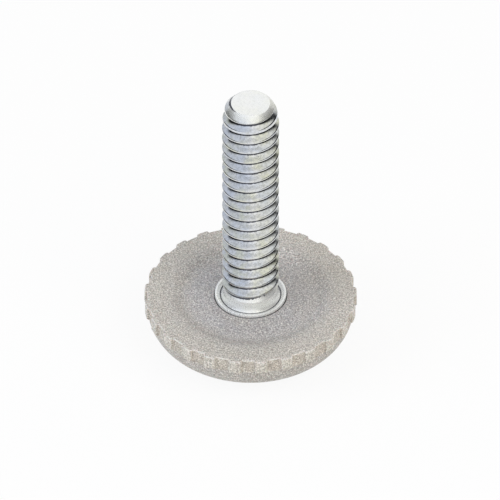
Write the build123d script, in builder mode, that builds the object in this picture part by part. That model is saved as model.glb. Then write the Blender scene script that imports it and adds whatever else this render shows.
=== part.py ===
from build123d import *
from math import acos, atan2, ceil, degrees, radians, tan
import os

# Levelling foot for furniture: a steel stud with a right-hand thread, moulded into a round plastic base.
# The origin is on the floor at the middle of the base, with +Z up the stud. All sizes are in millimetres.

# Thread of the stud, number 10 coarse unified: 24 turns to the inch
thread_major = 4.80
thread_pitch = 25.4 / 24
flank_angle = 30
crest_share = 1 / 8
root_share = 1 / 4

# Stud above the base
stud_projection = 21.0
tip_face_diameter = 3.3
tip_chamfer_height = 0.55
tip_chamfer_diameter = 4.34
tip_taper_height = 1.3
neck_diameter = 4.60
neck_height = 0.95
neck_foot_diameter = 4.90
neck_foot_drop = 0.10
neck_flare_height = 0.38
runout_height = 0.75

# Collar of the stud, which shows as a ring in the top of the base
collar_diameter = 6.14
collar_rise = 0.13
collar_lip = 0.20
collar_thickness = 0.72

# Head of the stud inside the base, which the plastic grips
shank_diameter = 4.1
shank_length = 1.35
head_across_flats = 7.0
head_thickness = 1.5

# Base
base_height = 5.3
rim_diameter = 17.5
rim_height = 1.2
bowl_overrun = 0.40
bowl_side_radius = 2.7
land_width = 2.15
trough_wall_width = 0.95
trough_depth = 0.45
trough_round = 1.1
collar_seat_depth = 0.12

# Teeth round the rim
tooth_count = 25
tooth_width = 1.02
tooth_proud = 0.24
tooth_height = 1.27
tooth_corner = 0.14
tooth_first_angle = -84.2
rim_edge = 0.10
tooth_root = 0.40

# Places along the axis, worked out from the sizes above
tip_z = base_height + stud_projection
collar_rim_z = base_height + collar_rise
collar_floor_z = base_height - neck_foot_drop
collar_bottom_z = collar_rim_z - collar_thickness
head_top_z = collar_bottom_z - shank_length
head_bottom_z = head_top_z - head_thickness
neck_top_z = base_height + neck_height

# Thread form: how high a flank stands, the radius at the bottom of the groove, how far the envelope clears
# the crests and sinks into the neck, and the turns that start below the neck's top
major_radius = thread_major / 2
flank_height = thread_pitch * (1 - crest_share - root_share) / 2 / tan(radians(flank_angle))
minor_radius = major_radius - flank_height
thread_cover = 0.15
runout_sink = 0.20
hidden_turns = 1.5


def thread_helix(radius, start_z):
    """One turn of a helix, from the +X side."""
    return Edge.make_helix(thread_pitch, thread_pitch, radius, center=(0, 0, start_z))


def threaded_bar(start_z, turns):
    """A bar with the thread cut to its ends: four ruled faces for each turn, and at each end a spiral ramp and a step."""
    flank_share = (1 - crest_share - root_share) / 2
    profile = [
        (minor_radius, 0),
        (major_radius, flank_share),
        (major_radius, flank_share + crest_share),
        (minor_radius, 1 - root_share),
    ]
    rows = []
    for turn in range(turns + 1):
        rows.append([thread_helix(radius, start_z + (turn + share) * thread_pitch) for radius, share in profile])
    faces = []
    for row, row_above in zip(rows, rows[1:]):
        edges = row + row_above[:1]
        for lower, upper in zip(edges, edges[1:]):
            faces.append(Face.make_surface_from_curves(lower, upper))
    for turn in (0, turns):
        end_z = start_z + turn * thread_pitch
        middle = Edge.make_line((0, 0, end_z), (0, 0, end_z + thread_pitch))
        faces.append(Face.make_surface_from_curves(middle, rows[turn][0]))
        corners = [(radius, 0, end_z + share * thread_pitch) for radius, share in profile]
        step = [(0, 0, end_z)] + corners
        step += [(minor_radius, 0, end_z + thread_pitch), (0, 0, end_z + thread_pitch)]
        faces.append(Face(Wire.make_polygon(step, close=True)))
    return Solid(Shell(faces))


# Stud blank: head, shank, collar and neck in one turned outline, which ends inside the core of the thread
with BuildPart() as stud_foot:
    with BuildSketch(Plane.XZ) as foot_profile:
        with BuildLine():
            Polyline(
                (0, head_top_z),
                (shank_diameter / 2, head_top_z),
                (shank_diameter / 2, collar_bottom_z),
                (collar_diameter / 2, collar_bottom_z),
                (collar_diameter / 2, collar_rim_z),
                (collar_diameter / 2 - collar_lip, collar_rim_z),
                (neck_foot_diameter / 2, collar_floor_z),
                (neck_diameter / 2, collar_floor_z + neck_flare_height),
                (neck_diameter / 2, neck_top_z),
                (minor_radius - runout_sink, neck_top_z + runout_height),
                (0, neck_top_z + runout_height),
                close=True,
            )
        make_face()
    revolve(axis=Axis.Z)
    with BuildSketch(Plane.XY.offset(head_bottom_z)) as head_outline:
        RegularPolygon(head_across_flats / 2, 6, major_radius=False)
    extrude(amount=head_thickness)

# The bar runs past both ends of the thread, and the envelope trims it to the tip and the neck
bar_start_z = neck_top_z - hidden_turns * thread_pitch
bar_turns = ceil((tip_z - bar_start_z) / thread_pitch) + 1

with BuildPart() as threaded_stud:
    with BuildSketch(Plane.XZ) as thread_envelope:
        with BuildLine():
            Polyline(
                (0, neck_top_z - thread_cover),
                (neck_diameter / 2 - thread_cover, neck_top_z - thread_cover),
                (major_radius + thread_cover, neck_top_z + runout_height / 2),
                (major_radius + thread_cover, tip_z - tip_chamfer_height - tip_taper_height),
                (tip_chamfer_diameter / 2, tip_z - tip_chamfer_height),
                (tip_face_diameter / 2, tip_z),
                (0, tip_z),
                close=True,
            )
        make_face()
    revolve(axis=Axis.Z)
    add(threaded_bar(bar_start_z, bar_turns), mode=Mode.INTERSECT)
    add(stud_foot.part)

# Base: the turned form of the moulding, with its trough above and its bowl below. The bowl's crown would run
# past the floor by bowl_overrun, which leaves the flat that the foot stands on
rim_radius = rim_diameter / 2
rim_bottom_z = base_height - rim_height
land_inner_radius = rim_radius - land_width
trough_radius = land_inner_radius - trough_wall_width
bowl_side_centre = rim_radius - bowl_side_radius
bowl_depth = rim_bottom_z + bowl_overrun
bowl_sum = bowl_side_centre ** 2 + bowl_depth ** 2 - bowl_side_radius ** 2
bowl_crown_radius = bowl_sum / (2 * (bowl_depth - bowl_side_radius))
bowl_crown_z = bowl_crown_radius - bowl_overrun
bowl_joint_angle = degrees(atan2(bowl_side_centre, bowl_crown_z - rim_bottom_z))
bowl_floor_angle = degrees(acos(bowl_crown_z / bowl_crown_radius))
tooth_tip_radius = rim_radius + tooth_proud
tooth_length = tooth_proud + tooth_root
tooth_middle_radius = tooth_tip_radius - tooth_length / 2

with BuildPart() as moulded_base:
    with BuildSketch(Plane.XZ) as base_profile:
        with BuildLine():
            Line((0, base_height - collar_seat_depth), (collar_diameter / 2, base_height - collar_seat_depth))
            FilletPolyline(
                (collar_diameter / 2, base_height - collar_seat_depth),
                (trough_radius, base_height - trough_depth),
                (land_inner_radius, base_height),
                (rim_radius, base_height),
                radius=trough_round,
            )
            Line((rim_radius, base_height), (rim_radius, rim_bottom_z))
            CenterArc((bowl_side_centre, rim_bottom_z), bowl_side_radius, 0, bowl_joint_angle - 90)
            crown = CenterArc(
                (0, bowl_crown_z),
                bowl_crown_radius,
                bowl_joint_angle - 90,
                bowl_floor_angle - bowl_joint_angle,
            )
            Polyline(crown @ 1, (0, 0), (0, base_height - collar_seat_depth))
        make_face()
    revolve(axis=Axis.Z)
    with BuildSketch(Plane.XY.offset(base_height - tooth_height)) as teeth:
        with PolarLocations(tooth_middle_radius, tooth_count, start_angle=tooth_first_angle):
            Rectangle(tooth_length, tooth_width)
        chamfer(teeth.vertices().sort_by_distance((0, 0))[-2 * tooth_count :], tooth_corner)
    extrude(amount=tooth_height)
    land = moulded_base.faces().filter_by(Plane.XY).sort_by(Axis.Z)[-1]
    chamfer(land.outer_wire().edges(), rim_edge)
    add(stud_foot.part, mode=Mode.SUBTRACT)

moulded_base.part.label = "moulded_base"
threaded_stud.part.label = "threaded_stud"

os.makedirs("parts", exist_ok=True)
export_step(moulded_base.part, "parts/moulded_base.step")
export_step(threaded_stud.part, "parts/threaded_stud.step")
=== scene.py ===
import math

import bmesh
import bpy
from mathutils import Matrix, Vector, noise


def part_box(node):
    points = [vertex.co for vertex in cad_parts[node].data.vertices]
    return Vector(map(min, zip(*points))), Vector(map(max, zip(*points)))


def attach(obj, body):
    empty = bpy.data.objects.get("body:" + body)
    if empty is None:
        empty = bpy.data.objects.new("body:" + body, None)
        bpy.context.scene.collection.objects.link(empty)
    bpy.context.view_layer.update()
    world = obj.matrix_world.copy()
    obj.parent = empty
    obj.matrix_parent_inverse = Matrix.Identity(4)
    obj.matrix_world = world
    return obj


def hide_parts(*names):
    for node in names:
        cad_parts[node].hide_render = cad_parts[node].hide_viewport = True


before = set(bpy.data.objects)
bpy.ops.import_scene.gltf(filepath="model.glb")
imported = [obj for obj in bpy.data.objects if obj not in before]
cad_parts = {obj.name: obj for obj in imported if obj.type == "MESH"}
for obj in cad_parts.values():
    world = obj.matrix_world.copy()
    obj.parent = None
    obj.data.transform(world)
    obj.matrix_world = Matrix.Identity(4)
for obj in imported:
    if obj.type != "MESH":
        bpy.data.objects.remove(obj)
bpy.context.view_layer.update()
mm = 0.001

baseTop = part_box("moulded_base")[1].z
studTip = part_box("threaded_stud")[1].z
print("frame loaded: base top", round(baseTop / mm, 2), "mm, stud tip", round(studTip / mm, 2), "mm")


def linearColour(hexText):
    # sRGB hex to the linear values that Blender's sockets take
    parts = [int(hexText[i:i + 2], 16) / 255 for i in (1, 3, 5)]
    return tuple(c / 12.92 if c <= 0.04045 else ((c + 0.055) / 1.055) ** 2.4 for c in parts) + (1.0,)


def addNode(tree, kind, settings=None):
    # a name in lower case is a setting of the node's own, any other name or number is one of its sockets,
    # which takes a number, a hex colour or the output of another node
    node = tree.nodes.new(kind)
    for name, value in (settings or {}).items():
        if isinstance(name, str) and name[0].islower():
            setattr(node, name, value)
        elif isinstance(value, bpy.types.NodeSocket):
            tree.links.new(value, node.inputs[name])
        else:
            node.inputs[name].default_value = linearColour(value) if isinstance(value, str) else value
    return node


def newMaterial(name):
    material = bpy.data.materials.new(name)
    material.use_nodes = True
    material.node_tree.nodes.clear()
    return material, material.node_tree


def softMin(a, b, blend):
    near = max(blend - abs(a - b), 0) / blend
    return min(a, b) - near * near * blend / 4


def softMax(a, b, blend):
    return -softMin(-a, -b, blend)


def roundedOutline(corners):
    # a corner is (radius, height, rounding, steps), and a rounded one becomes an arc between its two runs
    points = []
    for i, (r, z, rounding, steps) in enumerate(corners):
        here = Vector((r, z))
        if rounding == 0 or i in (0, len(corners) - 1):
            points.append((r, z))
            continue
        before = (Vector(corners[i - 1][:2]) - here).normalized()
        after = (Vector(corners[i + 1][:2]) - here).normalized()
        half = before.angle(after) / 2
        reach = rounding / math.tan(half)
        centre = here + (before + after).normalized() * rounding / math.sin(half)
        start = here + before * reach - centre
        swing = start.angle_signed(here + after * reach - centre)
        for k in range(steps + 1):
            turned = -swing * k / steps
            c, s = math.cos(turned), math.sin(turned)
            points.append((centre.x + start.x * c - start.y * s, centre.y + start.x * s + start.y * c))
    return points


def joinRings(faces, inner, outer):
    count = len(inner)
    for j in range(count):
        faces.append([inner[j], outer[j], outer[(j + 1) % count], inner[(j + 1) % count]])


def fillRing(faces, ring, middle):
    faces.extend([ring[j - 1], ring[j], middle] for j in range(len(ring)))


def buildObject(name, points, faces, layers):
    mesh = bpy.data.meshes.new(name)
    mesh.from_pydata(points, [], faces)
    for layer, values in layers.items():
        mesh.attributes.new(layer, "FLOAT", "POINT").data.foreach_set("value", values)
    # rows that run together, as under the rim between two teeth, become one
    merged = bmesh.new()
    merged.from_mesh(mesh)
    bmesh.ops.remove_doubles(merged, verts=merged.verts, dist=0.0001 * mm)
    merged.to_mesh(mesh)
    merged.free()
    mesh.shade_smooth()
    mesh.update()
    piece = bpy.data.objects.new(name, mesh)
    bpy.context.scene.collection.objects.link(piece)
    return piece


# threaded stud: rolled thread, neck, dished collar, and inside the base a shank and a hexagonal head

stud = {
    "columns": 120,             # a multiple of 6, so that the head's corners fall on columns
    # rows of one turn, in turns from the middle of a crest, close together where the thread is rounded
    "rows": (0, 0.02, 0.045, 0.07, 0.095, 0.12, 0.145, 0.19, 0.24, 0.29, 0.325, 0.36, 0.40, 0.44),
    "major": 2.40 * mm,         # radius over the crests
    "minor": 1.827 * mm,        # radius at the bottom of the groove
    "pitch": 25.4 / 24 * mm,
    "flankAngle": 30,
    "crestFlat": 0.16 * mm,
    "crestRound": 0.07 * mm,
    "rootRound": 0.42 * mm,     # a rolled thread is hollow at the root
    "threadStart": 0.95 * mm,   # above the base
    "crestLag": 1.125,          # turns from there back to the first crest on the +X side
    "tipFace": 1.65 * mm,
    "tipUnevenness": 0.03 * mm,
    "tipWaves": 0.9 * mm,
    "chamferHeight": 0.55 * mm,
    "chamferRadius": 2.17 * mm,
    "chamferRound": 0.03 * mm,
    "taperHeight": 1.85 * mm,   # from the tip to the first full crest
    "taperRound": 0.04 * mm,
    "neck": 2.30 * mm,
    "neckHeight": 0.90 * mm,    # above the base
    "runout": 0.75 * mm,        # length in which the groove dies out in the neck
    "runoutSink": 0.20 * mm,    # how far its cone goes on below the bottom of the groove
    "runoutRound": 0.06 * mm,
    "runInSlope": 0.762,        # how fast the crests grow out of the neck
    "runInRound": 0.05 * mm,
    "neckFoot": 2.55 * mm,
    "neckFootDrop": 0.10 * mm,
    "neckFlare": 0.24 * mm,     # height of the flare above the neck's foot
    "neckFlareRound": 0.62 * mm,
    "collar": 3.04 * mm,
    "collarRise": 0.13 * mm,
    "collarLip": 0.20 * mm,
    "collarThickness": 0.72 * mm,
    "shank": 2.05 * mm,
    "shankLength": 1.35 * mm,
    "headFlats": 7.0 * mm,
    "headThickness": 1.5 * mm,
    "headEdge": 0.05 * mm,
    "shadeWall": 0.12 * mm,      # the painted groove shade fades over this height above the thread's own groove
    "shadeCorner": 0.60 * mm,    # reach of the painted shade under the crest where the groove runs out
    "shadeFoot": 0.06 * mm,      # and of the painted shade round the corner at the neck's foot
    "tipEdgeShade": 0.92,           # painted shade on the edge round the tip face, darkest on two sides
}

neckTop = baseTop + stud["neckHeight"]
crestStart = baseTop + stud["threadStart"] - stud["crestLag"] * stud["pitch"]
collarTop = baseTop + stud["collarRise"]
collarBottom = collarTop - stud["collarThickness"]
collarFloor = baseTop - stud["neckFootDrop"]
headTop = collarBottom - stud["shankLength"]
headBottom = headTop - stud["headThickness"]


def turnsFromCrest(angle, z):
    return (z - crestStart) / stud["pitch"] - angle / (2 * math.pi)


def threadRadius(turns):
    away = abs(turns - round(turns)) * stud["pitch"]
    flank = stud["major"] - (away - stud["crestFlat"] / 2) / math.tan(math.radians(stud["flankAngle"]))
    return softMax(softMin(flank, stud["major"], stud["crestRound"]), stud["minor"], stud["rootRound"])


def runoutCone(z):
    # the cone in which the groove dies out above the neck
    up = max(z - neckTop, 0)
    return stud["neck"] - up * (stud["neck"] - stud["minor"] + stud["runoutSink"]) / stud["runout"]


def grooveShadeMask(turns, z, radius):
    # share of painted shade: how deep a place lies in the groove, 1 at its bottom, and a dark band under
    # the crest where the groove runs out above the neck
    thread = threadRadius(turns)
    groove = (stud["major"] - thread) / (stud["major"] - stud["minor"])
    cut = min(max((thread + stud["shadeWall"] - radius) / stud["shadeWall"], 0), 1)
    underCrest = turns - round(turns) < -0.08 and z > neckTop
    corner = 1 - abs(thread - runoutCone(z)) / stud["shadeCorner"] if underCrest else 0
    return max(groove * cut, min(corner * 1.6, 1), 0)


def studRadius(angle, z):
    down, up = studTip - z, z - neckTop
    chamfer = stud["tipFace"] + down * (stud["chamferRadius"] - stud["tipFace"]) / stud["chamferHeight"]
    slope = (stud["major"] - stud["chamferRadius"]) / (stud["taperHeight"] - stud["chamferHeight"])
    taper = stud["chamferRadius"] + (down - stud["chamferHeight"]) * slope
    radius = threadRadius(turnsFromCrest(angle, z))
    radius = softMin(radius, stud["neck"] + up * stud["runInSlope"], stud["runInRound"])
    radius = softMax(radius, runoutCone(z), stud["runoutRound"])
    radius = softMin(radius, taper, stud["taperRound"])
    return softMin(radius, chamfer, stud["chamferRound"])


def hexRadius(angle, flats):
    # corners lie on the X axis, flats face Y
    sector = math.radians(60)
    return flats / 2 / math.cos(angle % sector - sector / 2)


def neckAndCollar():
    # turned outline from the top of the neck down to the head, as (radius, height)
    neck, collar, shank = stud["neck"], stud["collar"], stud["shank"]
    return roundedOutline([
        (neck, neckTop, 0, 0),
        (neck, neckTop - 0.15 * mm, 0, 0),
        (neck, collarFloor + stud["neckFlare"], stud["neckFlareRound"], 9),
        (stud["neckFoot"], collarFloor, 0.05 * mm, 4),
        (collar - stud["collarLip"], collarTop, 0.10 * mm, 4),
        (collar, collarTop, 0.07 * mm, 5),
        (collar, collarSeat + 0.015 * mm, 0, 0),
        (collar, collarSeat - 0.015 * mm, 0, 0),
        (collar, collarBottom, 0.03 * mm, 2),
        (shank, collarBottom, 0.05 * mm, 2),
        (shank, headTop, 0, 0),
    ])


def buildStud():
    columns, pitch = stud["columns"], stud["pitch"]
    rows = sorted({share % 1 for row in stud["rows"] for share in (row, -row)} | {0.5})
    perTurn = len(rows)
    points, studShades, faces = [], [], []

    # depth is the point's share of painted shade
    def addPoint(radius, angle, z, depth=0.0):
        points.append((radius * math.cos(angle), radius * math.sin(angle), z))
        studShades.append(depth)
        return len(points) - 1

    # the rows climb with the thread, and stop on one level ring at the neck and one at the tip
    angles = [2 * math.pi * j / columns for j in range(columns)]
    rowCount = math.ceil((studTip - crestStart) / pitch * perTurn) + 2 * perTurn
    lowRing = [addPoint(stud["neck"], a, neckTop) for a in angles]
    # the edge round the tip face takes painted shade, darkest along X
    highRing = [addPoint(stud["tipFace"], a, studTip, stud["tipEdgeShade"] * abs(math.cos(a))) for a in angles]
    grid = {}
    for m in range(-perTurn, rowCount):
        for j, angle in enumerate(angles):
            z = crestStart + pitch * (j / columns + m // perTurn + rows[m % perTurn])
            if z <= neckTop + 0.01 * mm:
                grid[m, j] = lowRing[j]
            elif z >= studTip - 0.01 * mm:
                grid[m, j] = highRing[j]
            else:
                radius = studRadius(angle, z)
                grid[m, j] = addPoint(radius, angle, z, grooveShadeMask(turnsFromCrest(angle, z), z, radius))
    for m in range(-perTurn, rowCount - perTurn - 1):
        for j in range(columns):
            right = (m, j + 1) if j + 1 < columns else (m + perTurn, 0)
            corners = [grid[m, j], grid[right], grid[right[0] + 1, right[1]], grid[m + 1, j]]
            face = [p for k, p in enumerate(corners) if p != corners[k - 1]]
            if len(face) > 2:
                faces.append(face)

    # tip face, a little uneven as a sheared and tumbled end is
    above = highRing
    for share in (0.96, 0.86, 0.7, 0.5, 0.3, 0.12):
        ring = []
        for a in angles:
            r = stud["tipFace"] * share
            wave = noise.noise(Vector((r * math.cos(a), r * math.sin(a), 0)) / stud["tipWaves"])
            sunk = stud["tipUnevenness"] * (0.5 + 0.5 * wave) * min(1, (1 - share) * 6)
            ring.append(addPoint(r, a, studTip - sunk))
        joinRings(faces, ring, above)
        above = ring
    fillRing(faces, above, addPoint(0, 0, studTip - stud["tipUnevenness"] * 0.5))

    # neck and collar, with painted shade as a dark line in the corner at the neck's foot and on the collar
    # below the seat in the plastic
    footCorner = Vector((stud["neckFoot"], collarFloor))
    below = lowRing
    for radius, z in neckAndCollar()[1:]:
        cornerShade = 2 - (Vector((radius, z)) - footCorner).length / stud["shadeFoot"]
        cornerShade = 1 if z < collarSeat else min(max(cornerShade, 0), 1)
        ring = [addPoint(radius, a, z, cornerShade * (0.95 + 0.05 * abs(math.cos(a)))) for a in angles]
        joinRings(faces, below, ring)
        below = ring

    # hexagonal head with its corners broken a little
    edge = stud["headEdge"]
    for inset, z in ((edge, headTop), (0, headTop - edge), (0, headBottom + edge), (edge, headBottom)):
        ring = [addPoint(hexRadius(a, stud["headFlats"]) - inset, a, z) for a in angles]
        joinRings(faces, below, ring)
        below = ring
    fillRing(faces, below[::-1], addPoint(0, 0, headBottom))
    return buildObject("zinc_stud", points, faces, {"studShadeMask": studShades})


def zincPlatedSteel():
    # cold headed steel, thread rolled, bright zinc plate with a clear passivation: a grey mirror clouded
    # with faint blue and yellow-green, finely dented, with painted shade darkening the bottom of the
    # groove
    look = {
        "plate": "#E5E6E7",
        "blueTint": "#DADFE8",
        "yellowTint": "#E2E3D4",
        "grey": "#C1C3C2",
        "tintEdges": (0.38, 0.5, 0.62),     # where in its noise blue, plain plate and yellow are pure
        "greyEdges": (0.42, 0.68),
        "greyShare": 0.75,
        "paintedShade": "#232334",
        "paintedShadeEdges": (0.89, 0.95),
        "paintedShadeShare": 0.9,
        "paintedShadeRagged": 0.16,         # how much the mottle moves the painted shade's edge
        "roughness": 0.12,
        "polishEdges": (0.35, 0.65),
        "polishSpread": (-0.04, 0.10),      # how far the mottle moves the roughness
        # neck, collar and tip are as headed or sheared, duller than the rolled thread
        "dullNeck": (0.7 * mm, 0.2 * mm),   # above the neck, from where it begins to where it is full
        "dullTip": (0.9 * mm, 0.04 * mm),   # the same below the tip
        "dullRoughness": 0.26,
        "dullBloom": 0.5,           # share of matt white bloom that the plating keeps there
        "bloom": "#F6F7F5",
        "bloomTint": 0.75,
        "tintSize": 1.7 * mm,
        "mottleSize": 0.20 * mm,
        "dentSize": 0.13 * mm,
        "dentHeight": 0.006 * mm,
        "dentStrength": 0.7,
    }
    material, tree = newMaterial("zincPlatedSteel")
    place = addNode(tree, "ShaderNodeTexCoord").outputs["Object"]
    height = addNode(tree, "ShaderNodeSeparateXYZ", {"Vector": place}).outputs["Z"]
    # each point's share of painted shade, from the groove, the neck's foot, the collar's gap and the tip's
    # edge
    depth = addNode(tree, "ShaderNodeAttribute", {"attribute_name": "studShadeMask"}).outputs["Fac"]
    tint, mottle, dents = (
        addNode(tree, "ShaderNodeTexNoise", {
            "Vector": place, "Scale": 1 / look[size], "Detail": detail, "Roughness": 0.6}).outputs["Fac"]
        for size, detail in (("tintSize", 4), ("mottleSize", 3), ("dentSize", 2)))

    # clouds of tint, greyed by the mottle; colour mixes take their share at 0 and two colours at 6 and 7
    tints = addNode(tree, "ShaderNodeValToRGB", {"Fac": tint})
    elements = tints.color_ramp.elements
    elements[0].position, middle, elements[1].position = look["tintEdges"]
    elements[0].color, elements[1].color = linearColour(look["blueTint"]), linearColour(look["yellowTint"])
    elements.new(middle).color = linearColour(look["plate"])
    greyShare = addNode(tree, "ShaderNodeMapRange", {
        "Value": mottle, "From Min": look["greyEdges"][0], "From Max": look["greyEdges"][1],
        "To Max": look["greyShare"]})
    mottled = addNode(tree, "ShaderNodeMix", {
        "data_type": "RGBA", 0: greyShare.outputs[0], 6: tints.outputs["Color"], 7: look["grey"]})

    # where the plating is dull: towards the neck and collar, and towards the tip face
    lowShare = addNode(tree, "ShaderNodeMapRange", {
        "Value": height, "From Min": neckTop + look["dullNeck"][0],
        "From Max": neckTop + look["dullNeck"][1]})
    tipShare = addNode(tree, "ShaderNodeMapRange", {
        "Value": height, "From Min": studTip - look["dullTip"][0],
        "From Max": studTip - look["dullTip"][1]})
    dull = addNode(tree, "ShaderNodeMath", {
        "operation": "MAXIMUM", 0: lowShare.outputs[0], 1: tipShare.outputs[0]}).outputs[0]
    bloomShare = addNode(tree, "ShaderNodeMath", {"operation": "MULTIPLY", 0: dull, 1: look["bloomTint"]})
    bloomed = addNode(tree, "ShaderNodeMix", {
        "data_type": "RGBA", 0: bloomShare.outputs[0], 6: mottled.outputs[2], 7: look["bloom"]})
    metal = addNode(tree, "ShaderNodeMath", {
        "operation": "MULTIPLY_ADD", 0: dull, 1: -look["dullBloom"], 2: 1.0})

    # painted shade in the groove, at the neck's foot, on the collar's gap and round the tip, its edge a
    # little ragged
    ragged = addNode(tree, "ShaderNodeMath", {
        "operation": "MULTIPLY_ADD", 0: mottle, 1: look["paintedShadeRagged"], 2: depth})
    paintedShadeShare = addNode(tree, "ShaderNodeMapRange", {
        "Value": ragged.outputs[0], "From Min": look["paintedShadeEdges"][0], "From Max": look["paintedShadeEdges"][1],
        "To Max": look["paintedShadeShare"]})
    coloured = addNode(tree, "ShaderNodeMix", {
        "data_type": "RGBA", 0: paintedShadeShare.outputs[0], 6: bloomed.outputs[2], 7: look["paintedShade"]})

    polish = addNode(tree, "ShaderNodeMapRange", {
        "Value": mottle, "From Min": look["polishEdges"][0], "From Max": look["polishEdges"][1],
        "To Min": look["roughness"] + look["polishSpread"][0],
        "To Max": look["roughness"] + look["polishSpread"][1]})
    rough = addNode(tree, "ShaderNodeMath", {
        "operation": "MULTIPLY_ADD", 0: dull, 1: look["dullRoughness"] - look["roughness"],
        2: polish.outputs[0]})
    bump = addNode(tree, "ShaderNodeBump", {
        "Strength": look["dentStrength"], "Distance": look["dentHeight"], "Height": dents})
    plate = addNode(tree, "ShaderNodeBsdfPrincipled", {
        "Base Color": coloured.outputs[2], "Metallic": metal.outputs[0],
        "Roughness": rough.outputs[0], "Normal": bump.outputs[0]})
    addNode(tree, "ShaderNodeOutputMaterial", {"Surface": plate.outputs[0]})
    return material


# moulded base: toothed rim, land, trough round the collar, bowl underneath

base = {
    "rim": 8.75 * mm,
    "rimHeight": 1.2 * mm,
    "edgeRound": 0.10 * mm,
    "landWidth": 2.15 * mm,
    "landRound": 2.1 * mm,      # where the trough's wall runs out into the land
    "troughWall": 0.95 * mm,
    "troughDepth": 0.45 * mm,
    "troughRound": 1.7 * mm,
    "troughMiddle": 4.3 * mm,   # radius at which its floor is halfway between the seat and its bottom
    "seatDepth": 0.12 * mm,     # how far the plastic lies below the land where it meets the collar
    "seatGap": 0.055 * mm,      # shrinkage gap that shows round the collar
    "seatGapDepth": 0.12 * mm,
    "bowlDepth": 4.5 * mm,
    "bowlSide": 2.7 * mm,
    "teeth": 25,
    "toothHalf": 0.51 * mm,
    "toothProud": 0.24 * mm,
    "toothHeight": 1.27 * mm,
    "toothCorner": 0.14 * mm,
    "toothFootRound": 0.12 * mm,
    "toothStart": -84.2,
    "pocketGap": 0.01 * mm,     # between plastic and steel inside, where nothing shows
}

collarSeat = baseTop - base["seatDepth"]
toothLedge = baseTop - base["toothHeight"]


def toothShare(offset):
    # how much of a tooth stands at a distance along the rim from its middle
    corner, half, proud = base["toothCorner"], base["toothHalf"], base["toothProud"]
    away = abs(offset)
    if away <= half - corner:
        return 1.0
    if away <= half:
        return (proud - corner + math.sqrt(corner ** 2 - (away - half + corner) ** 2)) / proud
    left = max(1 - (away - half) / (0.05 * mm), 0)
    return left * left * (proud - corner) / proud * 0.5


def baseStations():
    # angles round the base, close together where a tooth turns its corners
    half, corner = base["toothHalf"], base["toothCorner"]
    side = [0.16 * mm, half - corner]
    side += [half - corner * (1 - math.sin(math.radians(a))) for a in (25, 48, 68, 84)]
    side += [half + past * mm for past in (0.004, 0.02, 0.05, 0.17, 0.37)]
    offsets = [-s for s in reversed(side)] + [0] + side + [math.pi * base["rim"] / base["teeth"]]
    stations = []
    for tooth in range(base["teeth"]):
        middle = math.radians(base["toothStart"] + 360 / base["teeth"] * tooth)
        stations += [(middle + s / base["rim"], toothShare(s)) for s in offsets]
    return stations


def baseRows():
    # (radius, height, share of the tooth), from the pocket round the stud over the rim to the middle below
    rim, gap, edge = base["rim"], base["pocketGap"], base["edgeRound"]
    collar, seatGap = stud["collar"], base["seatGap"]
    landInner = rim - base["landWidth"]
    troughFloor = baseTop - base["troughDepth"]
    top = roundedOutline([
        (stud["shank"] + gap, headTop + gap, 0, 0),
        (stud["shank"] + gap, collarBottom - gap, 0, 0),
        (collar + gap, collarBottom - gap, 0, 0),
        (collar + gap, collarSeat - base["seatGapDepth"] - 0.04 * mm, 0, 0),
        (collar + seatGap, collarSeat - base["seatGapDepth"], 0, 0),
        (collar + seatGap, collarSeat, 0.04 * mm, 4),
        (base["troughMiddle"], (collarSeat + troughFloor) / 2, 0, 0),
        (landInner - base["troughWall"], troughFloor, base["troughRound"], 8),
        (landInner, baseTop, base["landRound"], 9),
        (landInner + 0.9 * mm, baseTop, 0, 0),
        (rim - 0.7 * mm, baseTop, 0, 0),
        (rim - 0.35 * mm, baseTop, 0, 0),
    ])
    rows = [(r, z, 0.0) for r, z in top]

    # rim edge, then the wall down to the ledge under the teeth
    for k in range(6):
        a = math.radians(90 * k / 5)
        rows.append((rim - edge + edge * math.sin(a), baseTop - edge + edge * math.cos(a), 1.0))
    foot = base["toothFootRound"]
    for z in (baseTop - 0.18 * mm, baseTop - 0.5 * mm, baseTop - 0.85 * mm, toothLedge + foot + 0.06 * mm):
        rows.append((rim, z, 1.0))
    for k in range(7):
        a = math.radians(90 * k / 6)
        inset = foot * (1 - math.cos(a)) / base["toothProud"]
        rows.append((rim, toothLedge + foot * (1 - math.sin(a)), 1.0 - inset))
    rows += [(rim, toothLedge, 0.25), (rim, toothLedge, 0.06)]

    # bowl: a side arc and a wide crown arc that meets the flat on the floor
    rimBottom, side, depth = baseTop - base["rimHeight"], base["bowlSide"], base["bowlDepth"]
    sideCentre = rim - side
    crown = (sideCentre ** 2 + depth ** 2 - side ** 2) / (2 * (depth - side))
    crownHeight = rimBottom - depth + crown
    joint = math.atan2(sideCentre, crownHeight - rimBottom)
    floorAngle = math.acos(crownHeight / crown)
    firstDrop = math.asin((rimBottom - toothLedge + 0.02 * mm) / side)
    for k in range(15):
        a = firstDrop + (math.radians(90) - joint - firstDrop) * k / 14
        rows.append((sideCentre + side * math.cos(a), rimBottom - side * math.sin(a), 0.0))
    for k in range(1, 9):
        a = joint + (floorAngle - joint) * k / 8
        rows.append((crown * math.sin(a), crownHeight - crown * math.cos(a), 0.0))
    return rows + [(crown * math.sin(floorAngle) * share, 0.0, 0.0) for share in (0.97, 0.8, 0.5, 0.2)]


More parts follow.
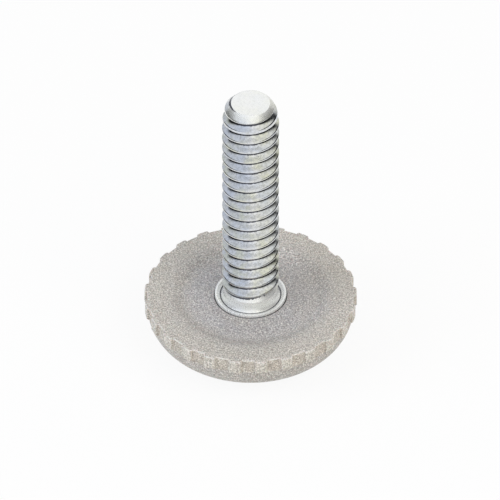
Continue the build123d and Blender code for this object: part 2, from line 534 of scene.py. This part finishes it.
def buildBase():
    stations = baseStations()
    angles = [a for a, tooth in stations]
    points, faces = [], []
    # what the plastic's colour follows
    layers = {"edgeWear": [], "rimWall": [], "toothFace": [], "bowlSkin": []}

    def addRing(ring, shares=None, **marks):
        start = len(points)
        points.extend(ring)
        layers["toothFace"].extend(shares or [0.0] * len(ring))
        for layer in ("edgeWear", "rimWall", "bowlSkin"):
            layers[layer].extend([float(marks.get(layer, False))] * len(ring))
        return list(range(start, start + len(ring)))

    # pocket that the head sits in
    gap = base["pocketGap"]
    radii = [hexRadius(a, stud["headFlats"] + 4 * gap) for a in angles]
    hexagon = [(r * math.cos(a), r * math.sin(a)) for r, a in zip(radii, angles)]
    bottom = addRing([(x, y, headBottom - gap) for x, y in hexagon])
    fillRing(faces, bottom, addRing([(0, 0, headBottom - gap)])[0])
    before = addRing([(x, y, headTop + gap) for x, y in hexagon])
    joinRings(faces, bottom, before)

    nearEdge = base["edgeRound"] * 0.95
    for radius, z, share in baseRows():
        ring = []
        for a, tooth in stations:
            r = radius + base["toothProud"] * tooth * share
            ring.append((r * math.cos(a), r * math.sin(a), z))
        onWall = radius >= base["rim"] and share > 0.3
        ring = addRing(
            ring, [min(tooth * share * 1.5, 1) for a, tooth in stations],
            edgeWear=radius > base["rim"] - nearEdge and z > baseTop - nearEdge,
            rimWall=onWall, bowlSkin=z < toothLedge + 0.005 * mm and not onWall)
        joinRings(faces, before, ring)
        before = ring
    fillRing(faces, before[::-1], addRing([(0, 0, 0)])[0])
    return buildObject("nylon_base", points, faces, layers)


def mouldedNylon():
    # moulded nylon, warm grey: a satin skin with fine grain, clouded a little where the melt ran, with
    # painted light on the teeth, painted shade in the valleys between them and on the bowl, and a painted
    # highlight on the rim's edge
    look = {
        "land": "#C1BCB4",
        "trough": "#ABA9AB",
        "troughEdges": (4.6 * mm, 7.8 * mm),    # from the axis, between which it passes into the land
        # the bowl underneath painted darker: painted shade
        "bowl": "#A9A49C",
        # teeth painted paler and valleys darker: painted light and shade
        "toothFace": "#C6C1B5",
        "valleyShade": "#B8AFA1",
        "cloud": "#BAB4AA",
        "cloudEdges": (0.40, 0.72),
        "cloudShare": 0.35,
        # the rim's top edge painted paler: a painted highlight
        "paintedHighlight": "#F0EEE9",
        "highlightShare": 0.35,
        "speckDark": "#77726E",
        "speckPale": "#F4F0EA",
        "darkEdges": (0.52, 0.30),
        "paleEdges": (0.50, 0.72),
        "speckShare": 0.85,
        "roughness": 0.48,
        "roughSpread": (-0.06, 0.08),   # how far the clouds move it
        "cloudSize": 2.6 * mm,
        "speckSize": 0.12 * mm,     # coarser than the real grain, so that it shows
        "grainSize": 0.12 * mm,
        "grainHeight": 0.008 * mm,
        "grainStrength": 0.6,
    }
    material, tree = newMaterial("mouldedNylon")
    place = addNode(tree, "ShaderNodeTexCoord").outputs["Object"]
    flat = addNode(tree, "ShaderNodeVectorMath", {"operation": "MULTIPLY", 0: place, 1: (1, 1, 0)})
    fromAxis = addNode(tree, "ShaderNodeVectorMath", {"operation": "LENGTH", 0: flat.outputs[0]})
    clouds, specks, grain = (
        addNode(tree, "ShaderNodeTexNoise", {
            "Vector": place, "Scale": 1 / look[size], "Detail": detail, "Roughness": mix}).outputs["Fac"]
        for size, detail, mix in (("cloudSize", 5, 0.6), ("speckSize", 2, 0.6), ("grainSize", 3, 0.5)))
    toothFace, rimWall, bowlSkin, edgeWear = (
        addNode(tree, "ShaderNodeAttribute", {"attribute_name": name}).outputs["Fac"]
        for name in ("toothFace", "rimWall", "bowlSkin", "edgeWear"))
    landShare, cloudShare, darkShare, paleShare, highlightShare = (
        addNode(tree, "ShaderNodeMapRange", {
            "Value": source, "From Min": edges[0], "From Max": edges[1], "To Max": most}).outputs[0]
        for source, edges, most in (
            (fromAxis.outputs["Value"], look["troughEdges"], 1),
            (clouds, look["cloudEdges"], look["cloudShare"]),
            (specks, look["darkEdges"], look["speckShare"]),
            (specks, look["paleEdges"], look["speckShare"]),
            (edgeWear, (0, 1), look["highlightShare"])))

    # each colour lies over the ones before it by its share
    rim = addNode(tree, "ShaderNodeMix", {
        "data_type": "RGBA", 0: toothFace, 6: look["valleyShade"], 7: look["toothFace"]}).outputs[2]
    colour = look["trough"]
    for share, over in (
            (landShare, look["land"]), (bowlSkin, look["bowl"]), (rimWall, rim),
            (cloudShare, look["cloud"]), (darkShare, look["speckDark"]), (paleShare, look["speckPale"]),
            (highlightShare, look["paintedHighlight"])):
        colour = addNode(tree, "ShaderNodeMix", {
            "data_type": "RGBA", 0: share, 6: colour, 7: over}).outputs[2]

    rough = addNode(tree, "ShaderNodeMapRange", {
        "Value": clouds, "To Min": look["roughness"] + look["roughSpread"][0],
        "To Max": look["roughness"] + look["roughSpread"][1]})
    bump = addNode(tree, "ShaderNodeBump", {
        "Strength": look["grainStrength"], "Distance": look["grainHeight"], "Height": grain})
    plastic = addNode(tree, "ShaderNodeBsdfPrincipled", {
        "IOR": 1.53, "Subsurface Weight": 0.06, "Subsurface Scale": 0.6 * mm,
        "Base Color": colour, "Roughness": rough.outputs[0], "Normal": bump.outputs[0]})
    addNode(tree, "ShaderNodeOutputMaterial", {"Surface": plastic.outputs[0]})
    return material


nylonBase = buildBase()
nylonBase.data.materials.append(mouldedNylon())
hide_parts("moulded_base")
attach(nylonBase, "root")
print("base built:", len(nylonBase.data.polygons), "faces")

zincStud = buildStud()
zincStud.data.materials.append(zincPlatedSteel())
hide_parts("threaded_stud")
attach(zincStud, "root")
print("stud built:", len(zincStud.data.polygons), "faces")


# floor, light and camera

studio = {
    # two corners of the paper and the radius of its hole, which the foot's flat hides
    "paperLow": (-0.07, -0.30),
    "paperHigh": (0.07, 0.10),
    "paperHole": 3.2 * mm,
    "paperDrop": 0.01 * mm,
    "floor": "#F4F4F4",
    "background": "#FFFFFF",
    "floorKeepsShade": 0.1,     # how much of the floor's own shading the camera sees
    "roomLight": 0.74,
    # what the metal mirrors, from level to straight up and from left to right
    "mirroredHeights": (
        (0.0, "#DCDCDC"), (0.3, "#F4F4F4"), (0.6, "#FFFFFF"), (0.86, "#FFFFFF"), (1.0, "#E0E0E0")),
    "mirroredSides": (
        (0.0, "#C8CCD4"), (0.22, "#D2D7E0"), (0.35, "#E5E8EE"), (0.5, "#FFFFFF"), (0.75, "#F0F0EA"),
        (1.0, "#D0D0CA")),
    "mirroredLight": 1.06,
    # black card low down on either side, which gives the metal its dark lines: each pair is where its edge
    # begins and where it is fully black, along the direction looked in
    "card": "#1C1D20",
    "cardLeft": (-0.70, -0.84),
    "cardRight": (0.44, 0.58),
    "cardTop": (0.67, 0.50),
    "cardBack": (0.66, 0.50),
    "cardSlant": -0.08,         # the right card reaches a little higher than the left one
    "key": 1.0,
    "keyPlace": (0.24, -0.29, 0.32),
    "keySize": (0.36, 0.30),
    "keyColour": "#FFFBF5",
    "fill": 0.65,
    "fillPlace": (-0.32, -0.14, 0.20),
    "fillSize": (0.26, 0.20),
    "fillColour": "#EAF2FF",
    "lens": 1200,
    "elevation": 40.4,
    "frameWidth": 42.2 * mm,    # the picture's width at the stud
    "aim": (-0.05 * mm, 0, 10.12 * mm),
}


def mattWhitePaper():
    # matt white paper, which the camera sees nearly as the page itself, and sees through from below, where
    # the underside of the foot is of more interest
    material, tree = newMaterial("mattWhitePaper")
    rays = addNode(tree, "ShaderNodeLightPath")
    seen = rays.outputs["Is Camera Ray"]
    for kind in ("Is Glossy Ray", "Is Transmission Ray"):
        seen = addNode(tree, "ShaderNodeMath", {
            "operation": "MAXIMUM", 0: seen, 1: rays.outputs[kind]}).outputs[0]
    share = addNode(tree, "ShaderNodeMath", {
        "operation": "MULTIPLY", 0: seen, 1: 1 - studio["floorKeepsShade"]})
    paper = addNode(tree, "ShaderNodeBsdfDiffuse", {"Color": studio["floor"]})
    page = addNode(tree, "ShaderNodeEmission", {"Color": studio["background"], "Strength": 1.0})
    sheet = addNode(tree, "ShaderNodeMixShader", {
        0: share.outputs[0], 1: paper.outputs[0], 2: page.outputs[0]})
    side = addNode(tree, "ShaderNodeNewGeometry")
    fromBelow = addNode(tree, "ShaderNodeMath", {
        "operation": "MULTIPLY", 0: side.outputs["Backfacing"], 1: rays.outputs["Is Camera Ray"]})
    clear = addNode(tree, "ShaderNodeBsdfTransparent")
    shown = addNode(tree, "ShaderNodeMixShader", {
        0: fromBelow.outputs[0], 1: sheet.outputs[0], 2: clear.outputs[0]})
    addNode(tree, "ShaderNodeOutputMaterial", {"Surface": shown.outputs[0]})
    return material


def buildFloor():
    # two halves round the hole, so that light reaches the foot's flat from below
    (x0, y0), (x1, y1) = studio["paperLow"], studio["paperHigh"]
    left = ((x0, y0), (0, y0)), -90, ((0, y1), (x0, y1))
    right = ((x1, y1), (0, y1)), 90, ((0, y0), (x1, y0))
    points, faces = [], []
    for before, start, after in (left, right):
        turned = [math.radians(start - 7.5 * k) for k in range(25)]
        arc = [(studio["paperHole"] * math.cos(a), studio["paperHole"] * math.sin(a)) for a in turned]
        faces.append(range(len(points), len(points) + len(arc) + 4))
        points += [(x, y, -studio["paperDrop"]) for x, y in [*before, *arc, *after]]
    mesh = bpy.data.meshes.new("paper_floor")
    mesh.from_pydata(points, [], faces)
    mesh.materials.append(mattWhitePaper())
    floor = bpy.data.objects.new("paper_floor", mesh)
    bpy.context.scene.collection.objects.link(floor)
    return floor


def buildWorld():
    # a plain room: one even light on the object and white for the camera; its metal mirrors a bright room,
    # cooler on the left, with the two black cards
    world = bpy.data.worlds.new("studioRoom")
    world.use_nodes = True
    tree = world.node_tree
    tree.nodes.clear()
    rays = addNode(tree, "ShaderNodeLightPath")
    place = addNode(tree, "ShaderNodeTexCoord")
    split = addNode(tree, "ShaderNodeSeparateXYZ", {"Vector": place.outputs["Generated"]})
    across, back, up = (split.outputs[axis] for axis in "XYZ")

    fromLeft = addNode(tree, "ShaderNodeMath", {"operation": "MULTIPLY_ADD", 0: across, 1: 0.5, 2: 0.5})
    colours = []
    for position, stops in (
            (up, studio["mirroredHeights"]), (fromLeft.outputs[0], studio["mirroredSides"])):
        node = addNode(tree, "ShaderNodeValToRGB", {"Fac": position})
        elements = node.color_ramp.elements
        for k, (spot, colour) in enumerate(stops):
            stop = elements[0] if k == 0 else elements[-1] if spot == 1 else elements.new(spot)
            stop.color = linearColour(colour)
        colours.append(node.outputs["Color"])
    bright = addNode(tree, "ShaderNodeMix", {
        "data_type": "RGBA", "blend_type": "MULTIPLY", 0: 1.0, 6: colours[0], 7: colours[1]})

    slanted = addNode(tree, "ShaderNodeMath", {
        "operation": "MULTIPLY_ADD", 0: across, 1: studio["cardSlant"], 2: up})
    cardLeft, cardRight, cardLow, cardNear = (
        addNode(tree, "ShaderNodeMapRange", {
            "Value": source, "From Min": studio[edge][0], "From Max": studio[edge][1]}).outputs[0]
        for source, edge in (
            (across, "cardLeft"), (across, "cardRight"), (slanted.outputs[0], "cardTop"),
            (back, "cardBack")))
    card = addNode(tree, "ShaderNodeMath", {"operation": "ADD", 0: cardLeft, 1: cardRight}).outputs[0]
    for limit in (cardLow, cardNear):
        card = addNode(tree, "ShaderNodeMath", {"operation": "MULTIPLY", 0: card, 1: limit}).outputs[0]
    carded = addNode(tree, "ShaderNodeMix", {
        "data_type": "RGBA", 0: card, 6: bright.outputs[2], 7: studio["card"]})

    room = addNode(tree, "ShaderNodeBackground", {"Strength": studio["roomLight"]})
    mirrored = addNode(tree, "ShaderNodeBackground", {
        "Color": carded.outputs[2], "Strength": studio["mirroredLight"]})
    page = addNode(tree, "ShaderNodeBackground", {"Color": studio["background"], "Strength": 1.0})
    lit = addNode(tree, "ShaderNodeMixShader", {
        0: rays.outputs["Is Glossy Ray"], 1: room.outputs[0], 2: mirrored.outputs[0]})
    seen = addNode(tree, "ShaderNodeMath", {
        "operation": "MAXIMUM", 0: rays.outputs["Is Camera Ray"], 1: rays.outputs["Is Transmission Ray"]})
    shown = addNode(tree, "ShaderNodeMixShader", {
        0: seen.outputs[0], 1: lit.outputs[0], 2: page.outputs[0]})
    addNode(tree, "ShaderNodeOutputWorld", {"Surface": shown.outputs[0]})
    bpy.context.scene.world = world


def addSoftbox(name, place, size, watts, colour):
    light = bpy.data.lights.new(name, "AREA")
    light.shape = "RECTANGLE"
    light.size, light.size_y = size
    light.energy = watts
    light.color = linearColour(colour)[:3]
    lamp = bpy.data.objects.new(name, light)
    lamp.visible_glossy = False     # the metal mirrors the room alone
    lamp.location = place
    aim = Vector((0, 0, 8 * mm)) - Vector(place)
    lamp.rotation_euler = aim.to_track_quat("-Z", "Y").to_euler()
    bpy.context.scene.collection.objects.link(lamp)


def buildCamera():
    camera = bpy.data.cameras.new("photoCamera")
    camera.lens = studio["lens"]
    camera.sensor_width = 36
    distance = studio["frameWidth"] * camera.lens / camera.sensor_width
    camera.clip_start, camera.clip_end = 0.01, distance * 4
    lift = math.radians(studio["elevation"])
    holder = bpy.data.objects.new("photoCamera", camera)
    holder.location = Vector(studio["aim"]) + Vector((0, -math.cos(lift), math.sin(lift))) * distance
    holder.rotation_euler = (math.radians(90) - lift, 0, 0)
    bpy.context.scene.collection.objects.link(holder)
    bpy.context.scene.camera = holder


buildFloor()
buildWorld()
addSoftbox("keySoftbox", studio["keyPlace"], studio["keySize"], studio["key"], studio["keyColour"])
addSoftbox("fillSoftbox", studio["fillPlace"], studio["fillSize"], studio["fill"], studio["fillColour"])
buildCamera()
bpy.context.scene.view_settings.view_transform = "Standard"
print("stage, light and camera set")
